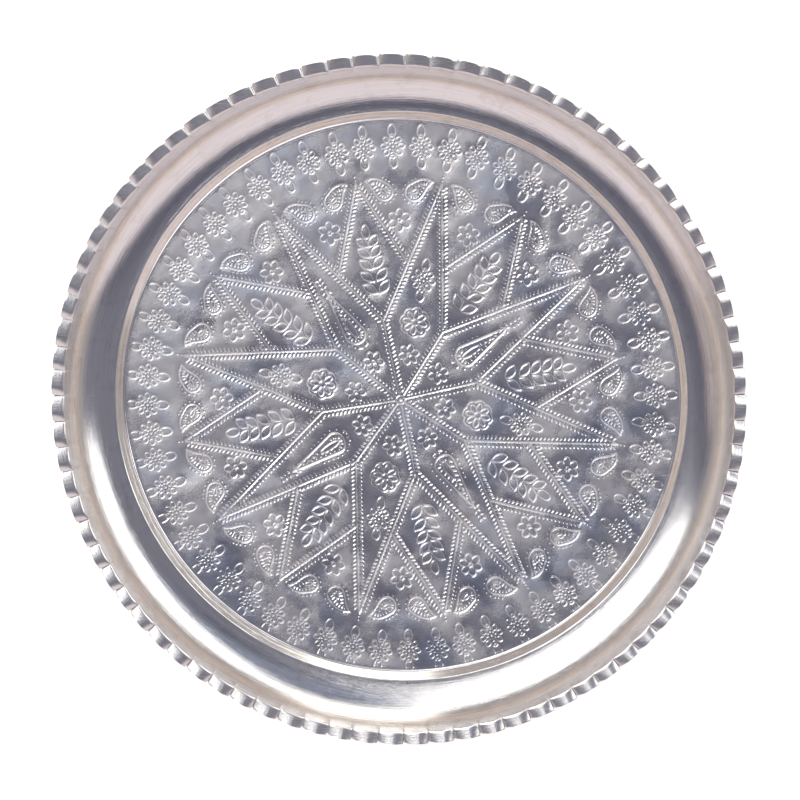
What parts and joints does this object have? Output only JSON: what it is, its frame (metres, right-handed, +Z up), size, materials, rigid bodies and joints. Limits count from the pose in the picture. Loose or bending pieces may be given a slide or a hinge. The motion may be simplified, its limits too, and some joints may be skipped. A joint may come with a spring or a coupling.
{
  "type": "offering plate",
  "caption": "Round shallow metal offering plate with a sunk flat patterned well, a short riser, a curved cove and a crimped lip.",
  "frame": {"origin": "centre of the well's underside, on the surface the plate rests on", "axes": "+Z up, out of the dish, along the plate's axis of revolution; X and Y lie in the resting plane"},
  "size_m": [0.3, 0.2999, 0.0168],
  "materials": {
    "metal": "spun and polished sheet, with fine turning marks"
  },
  "bodies": {
    "root": {"plate": "metal"}
  },
  "joints": []
}
